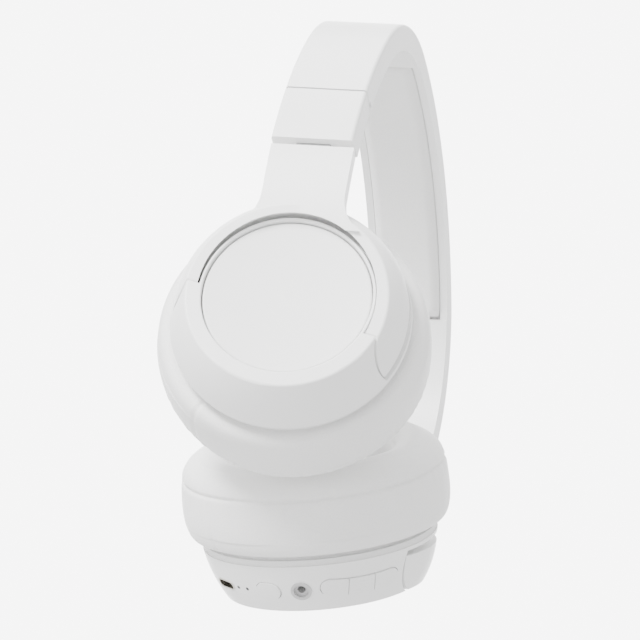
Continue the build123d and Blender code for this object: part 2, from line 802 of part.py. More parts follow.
for name, side, swing in SIDES:
    seat = cup_seat(side, swing)
    save(housing(side, seat), "cup_housing_" + name)
    save(cup_cap(seat), "cup_cap_" + name)
    save(baffle(seat), "baffle_" + name)
    save(baffle_screws(seat), "baffle_screws_" + name)
    for label, piece in driver_pieces(seat).items():
        save(piece, label + "_" + name)
    save(ring(seat, 0.0, SCREEN_RADIUS, carrier_back - SCREEN_THICKNESS, carrier_back), "ear_screen_" + name)
    save(
        ring(seat, CARRIER_INNER, CARRIER_OUTER, carrier_back - CARRIER_THICKNESS, carrier_back),
        "cushion_carrier_" + name,
    )
    save(cushion(seat, cushion_back), "ear_cushion_" + name)

# ================================================================ inside the left cup
left_seat = cup_seat(-1, LEFT_CUP_SWING)
with BuildPart() as battery:
    with BuildSketch(left_seat.face(-BATTERY_SIZE[2] / 2)):
        with Locations((0, -BATTERY_DROP)):
            RectangleRounded(BATTERY_SIZE[0], BATTERY_SIZE[1], 1.0)
    extrude(amount=BATTERY_SIZE[2])
save(battery.part, "battery")

# ================================================================ controls and electronics, right cup
right_seat = cup_seat(1, RIGHT_CUP_SWING)
skin = key_skin(right_seat)


def key(angle, length, low=None, high=None):
    """A key cut from the proud skin: a rounded slot, or the stretch of it between two splits."""
    with BuildPart() as piece:
        add(skin)
        add(
            wall_slot(right_seat, angle, length, CONTROL_HEIGHT, KEY_WELL, 6.0), mode=Mode.INTERSECT
        )
        if low is not None:
            with BuildSketch(wall_plane(right_seat, angle).offset(-KEY_WELL)):
                with Locations(((low + high) / 2, 0)):
                    Rectangle(high - low, 2 * CONTROL_HEIGHT)
            extrude(amount=KEY_WELL + 6.0, mode=Mode.INTERSECT)
    return piece.part


half_gap = KEY_CLEARANCE / 2
end = VOLUME_LENGTH
volume_stretches = {
    "volume_up_key": (-end, VOLUME_SPLITS[0] - half_gap),
    "play_key": (VOLUME_SPLITS[0] + half_gap, VOLUME_SPLITS[1] - half_gap),
    "volume_down_key": (VOLUME_SPLITS[1] + half_gap, end),
}
for label, (low, high) in volume_stretches.items():
    save(key(VOLUME_ANGLE, VOLUME_LENGTH, low, high), label)
save(key(PAIR_ANGLE, PAIR_LENGTH), "power_key")

with BuildPart() as jack:
    add(wall_rod(right_seat, JACK_ANGLE, JACK_OUTER_RADIUS, JACK_LENGTH, 0.3))
    add(
        wall_rod(right_seat, JACK_ANGLE, JACK_BORE_RADIUS, JACK_BORE_LENGTH, 1.0),
        mode=Mode.SUBTRACT,
    )
    add(wall_rod(right_seat, JACK_ANGLE, JACK_DISH_RADIUS, 0.7, 1.0), mode=Mode.SUBTRACT)
save(jack.part, "jack_socket")

with BuildPart() as usb:
    add(wall_slot(right_seat, USB_ANGLE, USB_LENGTH, USB_HEIGHT, USB_DEPTH, 0.1))
    add(
        wall_slot(
            right_seat,
            USB_ANGLE,
            USB_LENGTH - 2 * USB_WALL,
            USB_HEIGHT - 2 * USB_WALL,
            USB_DEPTH - USB_WALL,
            1.0,
        ),
        mode=Mode.SUBTRACT,
    )
save(usb.part, "charging_port")

save(wall_rod(right_seat, LAMP_ANGLE, LAMP_RADIUS, LAMP_LENGTH, 0.0), "status_lamp")
save(wall_rod(right_seat, MICROPHONE_ANGLE, LAMP_RADIUS, LAMP_LENGTH, 0.0), "microphone_mesh")
save(
    ring(right_seat, 0.0, BOARD_RADIUS, BOARD_DEPTH, BOARD_DEPTH + BOARD_THICKNESS), "main_board"
)
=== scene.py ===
"""Foldable wireless over-ear headphones: finishes, soft cushions, pad and stage around the frame.

Every size is in metres in the frame's own axes: +Z up, +X the wearer's right, +Y the front.
"""

import json
import math

import bmesh
import bpy
import numpy as np
from mathutils import Matrix, Vector


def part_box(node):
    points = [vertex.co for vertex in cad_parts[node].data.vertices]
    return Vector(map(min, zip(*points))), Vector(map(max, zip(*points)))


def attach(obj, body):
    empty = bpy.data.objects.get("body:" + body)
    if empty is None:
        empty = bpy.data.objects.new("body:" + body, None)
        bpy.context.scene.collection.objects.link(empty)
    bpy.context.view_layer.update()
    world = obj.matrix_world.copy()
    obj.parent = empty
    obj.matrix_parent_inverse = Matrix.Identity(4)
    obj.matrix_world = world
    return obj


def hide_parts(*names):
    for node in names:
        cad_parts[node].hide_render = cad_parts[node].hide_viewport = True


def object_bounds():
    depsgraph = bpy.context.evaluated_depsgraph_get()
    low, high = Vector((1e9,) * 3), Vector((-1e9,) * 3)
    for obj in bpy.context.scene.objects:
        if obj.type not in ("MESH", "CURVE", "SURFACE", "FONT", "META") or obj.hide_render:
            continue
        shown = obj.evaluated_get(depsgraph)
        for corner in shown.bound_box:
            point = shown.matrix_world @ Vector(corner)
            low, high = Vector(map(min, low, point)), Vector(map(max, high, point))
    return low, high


bl_info = {
    "name": "Over-ear headphones",
    "version": (1, 0, 0),
    "blender": (4, 5, 0),
    "location": "3D View > Sidebar > Headphones",
    "description": "Finishes, ear cushions, band pad and stage for foldable headphones",
    "category": "Object",
}

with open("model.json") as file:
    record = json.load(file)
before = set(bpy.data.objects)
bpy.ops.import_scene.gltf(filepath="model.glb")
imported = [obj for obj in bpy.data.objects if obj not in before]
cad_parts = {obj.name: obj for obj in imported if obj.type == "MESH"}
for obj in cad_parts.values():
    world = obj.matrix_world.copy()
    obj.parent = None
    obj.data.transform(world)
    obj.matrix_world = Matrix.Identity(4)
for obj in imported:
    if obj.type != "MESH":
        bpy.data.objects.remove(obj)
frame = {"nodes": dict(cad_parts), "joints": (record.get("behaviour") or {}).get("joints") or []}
CAD_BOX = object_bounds()
CUPS = ("left", "right")
MM = 0.001
FLOOR_HALF_WIDTH = 30.0
RING_ROWS = 252  # points round the section of an ear cushion
RING_COLUMNS = 384  # points round its circle
PAD_ROWS = 321  # points along the band pad
PAD_COLUMNS = 160  # points round its section


# ------------------------------------------------------------------ sizes and colours
class CushionSettings(bpy.types.PropertyGroup):
    """Sizes of the leatherette ring cushions."""

    seam_height: bpy.props.FloatProperty(
        name="Seam height",
        description="Place of the side seam, as a share of the cushion's depth from the cup",
        default=0.70,
        min=0.4,
        max=0.9,
    )
    seam_depth: bpy.props.FloatProperty(
        name="Seam depth",
        description="How far the stitched seams pull the cover in",
        default=0.75 * MM,
        unit="LENGTH",
    )
    crown: bpy.props.FloatProperty(
        name="Side crown",
        description="Swell of the side panel between its seams",
        default=0.55 * MM,
        unit="LENGTH",
    )
    gather: bpy.props.FloatProperty(
        name="Gather",
        description="Height of the small puckers beside the seams",
        default=0.10 * MM,
        unit="LENGTH",
    )
    join_angle: bpy.props.FloatProperty(
        name="Join angle",
        description="Where the side panel's ends are sewn, from straight down to the front",
        default=math.radians(37.0),
        subtype="ANGLE",
    )


class PadSettings(bpy.types.PropertyGroup):
    """Sizes of the padded strip under the crown of the band."""

    crown: bpy.props.FloatProperty(
        name="Crown",
        description="How far the middle of the pad stands out towards the head",
        default=1.3 * MM,
        unit="LENGTH",
    )
    edge: bpy.props.FloatProperty(
        name="Edge",
        description="Width over which the pad rounds down to its seam",
        default=3.2 * MM,
        unit="LENGTH",
    )


class FinishSettings(bpy.types.PropertyGroup):
    """Colours of the shells, covers and inner pieces."""

    shell: bpy.props.FloatVectorProperty(
        name="Shell",
        description="Moulded plastic of the band, yokes and cups",
        subtype="COLOR",
        size=3,
        default=(0.86, 0.86, 0.855),
    )
    cover: bpy.props.FloatVectorProperty(
        name="Cover",
        description="Leatherette of the cushions and the band pad",
        subtype="COLOR",
        size=3,
        default=(0.83, 0.828, 0.82),
    )
    inner: bpy.props.FloatVectorProperty(
        name="Inner plastic",
        description="Plastic of the baffles and carriers",
        subtype="COLOR",
        size=3,
        default=(0.74, 0.74, 0.735),
    )
    dark: bpy.props.FloatVectorProperty(
        name="Dark plastic",
        description="Plastic of the jack socket and the driver baskets",
        subtype="COLOR",
        size=3,
        default=(0.035, 0.035, 0.038),
    )


class StageSettings(bpy.types.PropertyGroup):
    """Camera, floor and lights."""

    azimuth: bpy.props.FloatProperty(
        name="Azimuth",
        description="Camera's bearing: 0 looks along +Y",
        subtype="ANGLE",
        default=math.radians(-68.1),
    )
    elevation: bpy.props.FloatProperty(
        name="Elevation",
        description="Camera's height above the horizon, as an angle",
        subtype="ANGLE",
        default=math.radians(-49.2),
    )
    roll: bpy.props.FloatProperty(
        name="Roll",
        description="Camera's turn about its own line of sight",
        subtype="ANGLE",
        default=math.radians(20.5),
    )
    distance: bpy.props.FloatProperty(
        name="Distance",
        description="From the camera to the point it looks at",
        default=1.58,
        unit="LENGTH",
    )
    lens: bpy.props.FloatProperty(
        name="Lens",
        description="Focal length in millimetres on a 36 mm sensor",
        default=286.0,
    )
    aim: bpy.props.FloatVectorProperty(
        name="Aim",
        description="The point that the camera looks at",
        subtype="TRANSLATION",
        size=3,
        default=(0.0010, 0.0092, -0.0748),
    )
    floor_drop: bpy.props.FloatProperty(
        name="Floor drop",
        description="Depth of the pale floor under the object",
        default=2.4,
        unit="LENGTH",
    )


# ------------------------------------------------------------------ shader building
class Field:
    """A value socket of a material, with Python's operators as Math nodes."""

    def __init__(self, shader, socket):
        self.shader = shader
        self.socket = socket

    def _math(self, operation, first, second=None):
        values = [first] if second is None else [first, second]
        return self.shader.node(
            "ShaderNodeMath", {"operation": operation}, dict(enumerate(values))
        )

    def __add__(self, other):
        return self._math("ADD", self, other)

    __radd__ = __add__

    def __sub__(self, other):
        return self._math("SUBTRACT", self, other)

    def __rsub__(self, other):
        return self._math("SUBTRACT", other, self)

    def __mul__(self, other):
        return self._math("MULTIPLY", self, other)

    __rmul__ = __mul__

    def __truediv__(self, other):
        return self._math("DIVIDE", self, other)

    def __pow__(self, other):
        return self._math("POWER", self, other)

    def wave(self):
        """The sine of the value."""
        return self._math("SINE", self)

    def above(self, other):
        """1 where the value is greater, otherwise 0."""
        return self._math("GREATER_THAN", self, other)

    def clamped(self):
        """The value held between 0 and 1."""
        return self._math("MINIMUM", self._math("MAXIMUM", self, 0.0), 1.0)


class Finish:
    """One material with a Principled shader at its end."""

    def __init__(self, name):
        self.material = bpy.data.materials.new(name)
        self.material.use_nodes = True
        self.tree = self.material.node_tree
        self.tree.nodes.clear()
        self.output = self.tree.nodes.new("ShaderNodeOutputMaterial")
        self.shader = self.tree.nodes.new("ShaderNodeBsdfPrincipled")
        self.tree.links.new(self.shader.outputs[0], self.output.inputs["Surface"])
        self.place = self.node("ShaderNodeTexCoord", {}, {}, "Object")

    def node(self, kind, settings, inputs, output=0):
        """Adds a node: its settings first, then the values or links of its sockets."""
        made = self.tree.nodes.new(kind)
        for key, value in settings.items():
            setattr(made, key, value)
        for key, value in inputs.items():
            self.feed(made.inputs[key], value)
        return Field(self, made.outputs[output])

    def feed(self, socket, value):
        if isinstance(value, Field):
            self.tree.links.new(value.socket, socket)
        else:
            socket.default_value = value

    def set(self, **values):
        """Feeds the Principled shader's sockets by name, with underscores for spaces."""
        for key, value in values.items():
            self.feed(self.shader.inputs[key.replace("_", " ")], value)

    def noise(self, size, detail=3.0, rough=0.5, place=None):
        """Noise from 0 to 1 whose blotches are about this size in metres."""
        return self.node(
            "ShaderNodeTexNoise",
            {},
            {
                "Vector": place or self.place,
                "Scale": 1.0 / size,
                "Detail": detail,
                "Roughness": rough,
            },
        )

    def cells(self, size, feature="DISTANCE_TO_EDGE", place=None):
        """Voronoi cells of about this size: the distance to their edges."""
        return self.node(
            "ShaderNodeTexVoronoi",
            {"feature": feature},
            {"Vector": place or self.place, "Scale": 1.0 / size},
            "Distance",
        )

    def along(self, direction):
        """The place's distance along a fixed direction."""
        return self.node(
            "ShaderNodeVectorMath",
            {"operation": "DOT_PRODUCT"},
            {0: self.place, 1: tuple(direction)},
            "Value",
        )

    def warped(self, amount, size):
        """The place, pushed about by noise: amount and blotch size in metres."""
        push = self.node(
            "ShaderNodeTexNoise",
            {},
            {"Vector": self.place, "Scale": 1.0 / size, "Detail": 2.0},
            "Color",
        )
        centred = self.node(
            "ShaderNodeVectorMath", {"operation": "SUBTRACT"}, {0: push, 1: (0.5, 0.5, 0.5)}
        )
        scaled = self.node(
            "ShaderNodeVectorMath", {"operation": "SCALE"}, {0: centred, "Scale": amount}
        )
        return self.node(
            "ShaderNodeVectorMath", {"operation": "ADD"}, {0: self.place, 1: scaled}
        )

    def mix(self, share, first, second):
        """A colour between two, by a share from 0 to 1."""
        return self.node(
            "ShaderNodeMix",
            {"data_type": "RGBA"},
            {0: share, 6: rgba(first), 7: rgba(second)},
            2,
        )

    def bump(self, height, depth, strength=1.0, under=None):
        """A Bump node: height from 0 to 1 over this depth in metres."""
        inputs = {"Height": height, "Distance": depth, "Strength": strength}
        if under is not None:
            inputs["Normal"] = under
        return self.node("ShaderNodeBump", {}, inputs)


def rgba(colour):
    """A colour with its alpha, or a linked colour unchanged."""
    if isinstance(colour, Field):
        return colour
    return (*tuple(colour)[:3], 1.0)


def shaded(colour, factor):
    """The colour, lighter or darker by a factor."""
    return tuple(min(1.0, c * factor) for c in tuple(colour)[:3])


def moulded_plastic(name, colour, roughness=0.36, grain=0.55 * MM, coat=0.0):
    """Satin moulded plastic: spark-eroded grain, faint flow marks, and rub on the high spots."""
    finish = Finish(name)
    flow = finish.noise(42 * MM, 2.0, 0.4, finish.warped(12 * MM, 60 * MM))
    fine = finish.noise(grain, 2.0, 0.6)
    rub = (finish.noise(9 * MM, 5.0, 0.62) - 0.52) * 3.0
    tone = finish.mix(flow, shaded(colour, 0.985), shaded(colour, 1.012))
    finish.set(
        Base_Color=finish.mix(rub.clamped() * 0.35, tone, shaded(colour, 0.965)),
        Roughness=roughness + (fine - 0.5) * 0.10 + (flow - 0.5) * 0.08 - rub.clamped() * 0.04,
        Normal=finish.bump(fine, 0.012 * MM, 0.55),
        Coat_Weight=coat,
        Coat_Roughness=0.25,
        Specular_IOR_Level=0.45,
    )
    return finish.material


def leatherette(name, colour):
    """Soft protein leather: pebbled cells, creases between them with painted shade in them, and
    broad soft unevenness.
    """
    finish = Finish(name)
    place = finish.warped(0.5 * MM, 1.4 * MM)
    pebbles = finish.cells(0.95 * MM, place=place)
    small = finish.cells(0.42 * MM, place=place)
    broad = finish.noise(14 * MM, 3.0, 0.5)
    pores = finish.noise(0.16 * MM, 2.0, 0.7)
    crease = 1.0 - (pebbles * 9.0).clamped()
    height = (pebbles * 3.2).clamped() * 0.7 + (small * 4.0).clamped() * 0.22 + pores * 0.08
    tone = finish.mix(broad, shaded(colour, 0.975), shaded(colour, 1.015))
    finish.set(
        # Painted shade: the creases between the pebbles are painted darker in the base colour.
        Base_Color=finish.mix(crease * 0.22, tone, shaded(colour, 0.80)),
        Roughness=0.46 + (broad - 0.5) * 0.14 + crease * 0.12,
        Normal=finish.bump(height, 0.055 * MM, 0.75, finish.bump(broad, 0.35 * MM, 0.35)),
        Sheen_Weight=0.12,
        Sheen_Roughness=0.5,
        Specular_IOR_Level=0.42,
    )
    return finish.material


def brushed_steel(name, colour=(0.62, 0.62, 0.64), direction=(0.0, 1.0, 0.0)):
    """Steel drawn along one direction: long fine scratches and slight tarnish."""
    finish = Finish(name)
    across = finish.along(Vector(direction).orthogonal())
    streak = finish.noise(0.12 * MM, 1.0, 0.5, finish.node(
        "ShaderNodeCombineXYZ", {}, {0: across, 1: finish.along(direction) * 0.03, 2: 0.0}
    ))
    tarnish = finish.noise(7 * MM, 4.0, 0.6)
    finish.set(
        Base_Color=finish.mix(tarnish, shaded(colour, 0.82), shaded(colour, 1.05)),
        Metallic=1.0,
        Roughness=0.27 + (streak - 0.5) * 0.2 + (tarnish - 0.5) * 0.1,
        Normal=finish.bump(streak, 0.006 * MM, 0.5),
    )
    return finish.material


def woven_screen(name, colour, across, up):
    """Acoustic cloth: over-and-under threads along two directions of the cup's face, with painted
    shade where the threads dip under.
    """
    finish = Finish(name)
    turns = 2.0 * math.pi / (0.9 * MM)
    warp = (finish.along(across) * turns).wave()
    weft = (finish.along(up) * turns).wave()
    over = warp * weft * 0.5 + 0.5
    fibre = finish.noise(0.15 * MM, 3.0, 0.7)
    finish.set(
        # Painted shade: the low crossings of the weave are painted darker than the raised
        # threads.
        Base_Color=finish.mix(over, shaded(colour, 0.45), shaded(colour, 1.05)),
        Roughness=0.82 + (fibre - 0.5) * 0.15,
        Normal=finish.bump(over * 0.8 + fibre * 0.2, 0.18 * MM, 0.9),
        Sheen_Weight=0.3,
        Sheen_Roughness=0.6,
    )
    return finish.material


def circuit_board(name):
    """Green solder mask over copper tracks, with tinned pads and light flux haze."""
    finish = Finish(name)
    tracks = finish.cells(3.2 * MM, place=finish.warped(0.2 * MM, 5 * MM))
    track = 1.0 - (tracks * 7.0).clamped()
    pads = finish.cells(4.5 * MM, "F1").above(0.16)
    haze = finish.noise(6 * MM, 4.0, 0.6)
    mask = finish.mix(track * 0.7, (0.012, 0.075, 0.035), (0.03, 0.19, 0.09))
    finish.set(
        Base_Color=finish.mix(pads, (0.72, 0.71, 0.68), mask),
        Metallic=1.0 - pads,
        Roughness=0.3 + haze * 0.2,
        Normal=finish.bump(track, 0.03 * MM, 0.6),
    )
    return finish.material


def shrink_film(name, colour):
    """Glossy shrink wrap: tight ripples and a soft scuffed sheen."""
    finish = Finish(name)
    ripple = finish.noise(1.8 * MM, 3.0, 0.5, finish.warped(2 * MM, 6 * MM))
    scuff = finish.noise(5 * MM, 5.0, 0.65)
    finish.set(
        Base_Color=finish.mix(scuff, shaded(colour, 0.85), shaded(colour, 1.15)),
        Roughness=0.22 + scuff * 0.2,
        Normal=finish.bump(ripple, 0.12 * MM, 0.6),
    )
    return finish.material


# ------------------------------------------------------------------ frame measures
class CupPlace:
    """A cup's own axes: centre on the pivot, n outwards, u to the front and v up the cup."""

    def __init__(self, side):
        cap = middle_of("cup_cap_" + side)
        screen = middle_of("ear_screen_" + side)
        tilt = next(j for j in frame["joints"] if j["name"] == "cup_tilt_" + side)
        self.side = side
        self.centre = np.array(tilt["pos_m"])
        self.n = unit(cap - screen)
        self.u = unit(np.array([0.0, 1.0, 0.0]) - self.n * self.n[1])
        self.v = unit(np.cross(self.n, self.u)) * (1.0 if side == "right" else -1.0)

    def measure(self, node):
        """(least radius, greatest radius, lowest depth, highest depth) of a revolved node."""
        points = node_points(node) - self.centre
        depth = points @ self.n
        radius = np.linalg.norm(points - np.outer(depth, self.n), axis=1)
        return radius.min(), radius.max(), depth.min(), depth.max()

    def point(self, radius, angle, depth):
        """The point at a radius and depth, at an angle from straight down towards the front."""
        out = np.multiply.outer(np.sin(angle), self.u) - np.multiply.outer(np.cos(angle), self.v)
        return self.centre + out * radius[..., None] + self.n * depth[..., None]


def node_points(node):
    """The CAD node's vertices as an array."""
    mesh = frame["nodes"][node].data
    points = np.empty(len(mesh.vertices) * 3)
    mesh.vertices.foreach_get("co", points)
    return points.reshape(-1, 3)


def middle_of(node):
    low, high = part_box(node)
    return (np.array(low) + np.array(high)) / 2


def unit(vector):
    return vector / np.linalg.norm(vector)


def grid_object(name, points, closed_rows, closed_columns, material):
    """A mesh from a grid of points, joined up along a direction where that is closed."""
    rows, columns = points.shape[:2]
    index = np.arange(rows * columns).reshape(rows, columns)
    if closed_rows:
        index = np.vstack([index, index[:1]])
    if closed_columns:
        index = np.hstack([index, index[:, :1]])
    quads = np.stack(
        [index[:-1, :-1], index[1:, :-1], index[1:, 1:], index[:-1, 1:]], axis=-1
    ).reshape(-1, 4)
    mesh = bpy.data.meshes.new(name)
    mesh.from_pydata(points.reshape(-1, 3).tolist(), [], quads.tolist())
    mesh.validate()
    mesh.polygons.foreach_set("use_smooth", np.ones(len(mesh.polygons), bool))
    mesh.materials.append(material)
    made = bpy.data.objects.new(name, mesh)
    bpy.context.scene.collection.objects.link(made)
    return made


def tidy_mesh(made, merge=0.01 * MM):
    """Merges doubled points, then turns every face outwards."""
    work = bmesh.new()
    work.from_mesh(made.data)
    bmesh.ops.remove_doubles(work, verts=work.verts, dist=merge)
    bmesh.ops.recalc_face_normals(work, faces=work.faces)
    work.to_mesh(made.data)
    work.free()
    return made


def groove(distance, width):
    """A soft valley: 1 at the line, falling to 0 over about a width each side."""
    return np.exp(-((distance / width) ** 2))


def paint(nodes, material):
    """Gives CAD nodes one material in place of their own."""
    for node in nodes:
        slots = frame["nodes"][node].data.materials
        slots.clear()
        slots.append(material)


def named(*starts):
    """The CAD nodes whose names begin with any of these words."""
    return [n for n in sorted(frame["nodes"]) if n.startswith(starts)]


# ------------------------------------------------------------------ operators
class HEADPHONES_OT_shells(bpy.types.Operator):
    """Give the moulded shells, yokes, cups and keys their satin plastic"""

    bl_idname = "headphones.shells"
    bl_label = "Moulded shells"

    def execute(self, context):
        finish = context.scene.headphone_finish
        shell = moulded_plastic("satin_shell", finish.shell)
        paint(named("headband_shell", "headband_inner", "end_cap_outer", "end_cap_inner"), shell)
        paint(named("yoke", "cup_housing", "cup_cap"), shell)
        keys = moulded_plastic("smooth_keys", shaded(finish.shell, 0.99), 0.30, 0.4 * MM, 0.15)
        paint([n for n in frame["nodes"] if n.endswith("_key")], keys)
        inner = moulded_plastic("baffle_plastic", finish.inner, 0.5, 0.8 * MM)
        paint(named("baffle_left", "baffle_right", "cushion_carrier"), inner)
        return {"FINISHED"}


class HEADPHONES_OT_metal(bpy.types.Operator):
    """Give the spring, sliders, brackets, pins and screws their steel"""

    bl_idname = "headphones.metal"
    bl_label = "Steel pieces"

    def execute(self, context):
        steel = brushed_steel("spring_steel")
        paint(named("spring_band", "hinge_bracket", "fold_pin", "pivot_pins"), steel)
        screws = brushed_steel("screw_steel", (0.5, 0.5, 0.52))
        paint(named("baffle_screws", "end_cap_screws"), screws)
        paint(named("slider"), brushed_steel("slider_steel", (0.66, 0.66, 0.67), (0.0, 0.0, 1.0)))
        return {"FINISHED"}


class HEADPHONES_OT_electronics(bpy.types.Operator):
    """Give the drivers, board, battery, socket and port their finishes"""

    bl_idname = "headphones.electronics"
    bl_label = "Electronics"

    def execute(self, context):
        finish = context.scene.headphone_finish
        dark = moulded_plastic("dark_plastic", finish.dark, 0.42, 0.5 * MM)
        paint(named("driver_frame", "status_lamp", "microphone_mesh"), dark)
        paint(["jack_socket"], moulded_plastic("pale_socket", (0.48, 0.48, 0.48), 0.32, 0.4 * MM))
        paint(named("driver_magnet"), brushed_steel("magnet_plating", (0.72, 0.72, 0.74)))
        film = shrink_film("diaphragm_film", (0.42, 0.38, 0.30))
        paint(named("driver_diaphragm"), film)
        paint(named("charging_port"), brushed_steel("port_plating", (0.70, 0.68, 0.62)))
        paint(named("main_board"), circuit_board("solder_mask"))
        paint(named("battery"), shrink_film("battery_wrap", (0.10, 0.14, 0.28)))
        for side in CUPS:
            place = CupPlace(side)
            cloth = woven_screen("screen_cloth_" + side, (0.70, 0.70, 0.69), place.u, place.v)
            paint(["ear_screen_" + side], cloth)
        return {"FINISHED"}


class HEADPHONES_OT_cushions(bpy.types.Operator):
    """Make the two stitched ring cushions"""

    bl_idname = "headphones.cushions"
    bl_label = "Ear cushions"

    def execute(self, context):
        cover = leatherette("white_leatherette", context.scene.headphone_finish.cover)
        for number, side in enumerate(CUPS):
            made = ring_cushion(side, context.scene.headphone_cushion, cover, number)
            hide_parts("ear_cushion_" + side)
            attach(made, "cup_" + side)
        return {"FINISHED"}


def ring_cushion(side, sizes, cover, number):
    """A ring whose section is a rounded box: flat at the cup, round at the face.

    Section: radius and depth follow a superellipse whose power falls from 5 at the cup's side to
    2.5 at the face. The side panel swells between its two seams, each seam is a soft valley, and
    the puckers beside a seam are sines of the angle that fade away from it.
    """
    place = CupPlace(side)
    inner, outer, face, back = place.measure("ear_cushion_" + side)
    turn = np.linspace(0.0, 2.0 * math.pi, RING_ROWS, endpoint=False)[:, None]
    angle = np.linspace(0.0, 2.0 * math.pi, RING_COLUMNS, endpoint=False)[None, :]
    half_width = (outer - inner) / 2
    half_depth = (back - face) / 2
    power = 3.6 + 1.6 * np.sin(turn)
    cosine, sine = np.cos(turn), np.sin(turn)
    across = np.sign(cosine) * np.abs(cosine) ** (2.0 / power)
    along = np.sign(sine) * np.abs(sine) ** (2.0 / power)
    radius = (outer + inner) / 2 + half_width * across
    depth = (back + face) / 2 + half_depth * along
    share = (back - depth) / (back - face)
    outside = np.clip(across * 3.0, 0.0, 1.0) ** 2
    inside = np.clip(-across * 3.0, 0.0, 1.0) ** 2
    from_seam = (share - sizes.seam_height) * (back - face)
    swell = np.sin(np.clip(share / sizes.seam_height, 0.0, 1.0) * math.pi)
    random = np.random.default_rng(11 + number)
    pucker = sum(
        np.sin(angle * count + random.uniform(0.0, 6.28)) * random.uniform(0.4, 1.0)
        for count in (41, 58, 73, 97)
    )
    uneven = sum(
        np.sin(angle * count + turn * twist + random.uniform(0.0, 6.28))
        for count, twist in ((2, 1), (3, 2), (5, 1))
    )
    near = np.exp(-np.abs(from_seam) / (3.2 * MM))
    push = sizes.crown * (swell - 1.0) * outside
    push = push - sizes.seam_depth * groove(from_seam, 0.55 * MM) * outside
    push = push + sizes.gather * pucker * near * outside
    push = push - 0.3 * MM * groove((share - 0.86) * (back - face), 0.6 * MM) * inside
    push = push + 0.11 * MM * uneven * (share > 0.2)
    join = (angle - sizes.join_angle + math.pi) % (2.0 * math.pi) - math.pi
    below_seam = 1.0 / (1.0 + np.exp(from_seam / (0.4 * MM)))
    push = push - 0.5 * MM * groove(join * outer, 0.4 * MM) * outside * below_seam
    normal_r = np.sign(cosine) * np.abs(cosine) ** 1.2
    normal_d = np.sign(sine) * np.abs(sine) ** 1.2
    length = np.sqrt(normal_r**2 + normal_d**2)
    radius = radius + push * normal_r / length
    depth = depth + push * normal_d / length
    points = place.point(radius, np.broadcast_to(angle, radius.shape), depth)
    made = grid_object("soft_ear_cushion_" + side, points, True, True, cover)
    return tidy_mesh(made)


class HEADPHONES_OT_pad(bpy.types.Operator):
    """Make the padded strip under the crown of the band"""

    bl_idname = "headphones.pad"
    bl_label = "Band pad"

    def execute(self, context):
        cover = leatherette("pad_leatherette", context.scene.headphone_finish.cover)
        made = band_pad(context.scene.headphone_pad, cover)
        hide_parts("headband_pad")
        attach(made, "headband")
        return {"FINISHED"}


def band_pad(sizes, cover):
    """A long pillow bent to the crown's arc, domed towards the head.

    Section: a superellipse across the width, shrunk at both ends by a high power of the share of
    the length. The dome is a product of two rounded plateaus.
    """
    points = node_points("headband_pad")
    high = points.max(0)
    end = points[points[:, 2].argmin()]
    arc_radius = -(end[0] ** 2 + end[2] ** 2) / (2.0 * end[2])
    reach = math.asin(min(1.0, abs(end[0]) / arc_radius))
    half_width = high[1]
    thick = high[2]
    share = np.linspace(-1.0, 1.0, PAD_ROWS)[:, None]
    turn = np.linspace(0.0, 2.0 * math.pi, PAD_COLUMNS, endpoint=False)[None, :]
    taper = np.clip(1.0 - np.abs(share) ** 46, 0.0, 1.0) ** 0.5
    cosine, sine = np.cos(turn), np.sin(turn)
    y = half_width * np.sign(cosine) * np.abs(cosine) ** 0.36 * (0.86 + 0.14 * taper)
    flat = np.sign(sine) * np.abs(sine) ** 0.5
    edge = np.clip((half_width - np.abs(y)) / sizes.edge, 0.0, 1.0)
    ends = np.clip((1.0 - np.abs(share)) * reach * arc_radius / sizes.edge, 0.0, 1.0)
    dome = np.sin(edge * math.pi / 2) * np.sin(ends * math.pi / 2)
    random = np.random.default_rng(5)
    waves = sum(
        np.sin(share * count + y * 300.0 * twist + random.uniform(0.0, 6.28))
        for count, twist in ((31.0, 1.0), (47.0, -1.3), (83.0, 0.6))
    )
    towards_head = sizes.crown * dome * (1.0 + 0.012 * waves) * (flat > 0)
    pucker = 0.02 * MM * np.sin(share * 420.0) * groove(edge - 0.5, 0.35) * (flat > 0)
    depth = thick / 2 * (1.0 - flat * taper) - towards_head - pucker
    arc = share * reach
    ring = arc_radius + depth
    x = ring * np.sin(arc)
    z = ring * np.cos(arc) - arc_radius
    grid = np.stack(np.broadcast_arrays(x, y, z), axis=-1)
    made = grid_object("soft_band_pad", grid, False, True, cover)
    close_ends(made, grid.shape[0], grid.shape[1])
    return tidy_mesh(made)


def close_ends(made, rows, columns):
    """Closes the first and last loops of a tube with one face each."""
    work = bmesh.new()
    work.from_mesh(made.data)
    work.verts.ensure_lookup_table()
    for start in (0, (rows - 1) * columns):
        work.faces.new([work.verts[start + i] for i in range(columns)])
    work.to_mesh(made.data)
    work.free()


class HEADPHONES_OT_stage(bpy.types.Operator):
    """Make the pale floor, the soft lights and the camera"""

    bl_idname = "headphones.stage"
    bl_label = "Stage"

    def execute(self, context):
        stage = context.scene.headphone_stage
        level = float(CAD_BOX[0][2]) - stage.floor_drop
        size = FLOOR_HALF_WIDTH
        mesh = bpy.data.meshes.new("floor")
        signs = ((-1, -1), (1, -1), (1, 1), (-1, 1))
        corners = [(x * size, y * size, level) for x, y in signs]
        mesh.from_pydata(corners, [], [(0, 1, 2, 3)])
        floor = bpy.data.objects.new("floor", mesh)
        context.scene.collection.objects.link(floor)
        finish = Finish("pale_floor")
        mottled = finish.noise(0.4, 3.0, 0.5)
        finish.set(
            Base_Color=finish.mix(mottled, (0.60, 0.60, 0.60), (0.64, 0.64, 0.64)),
            Roughness=0.8,
        )
        mesh.materials.append(finish.material)
        place_camera(context.scene, stage)
        studio_lights(context.scene, stage)
        return {"FINISHED"}


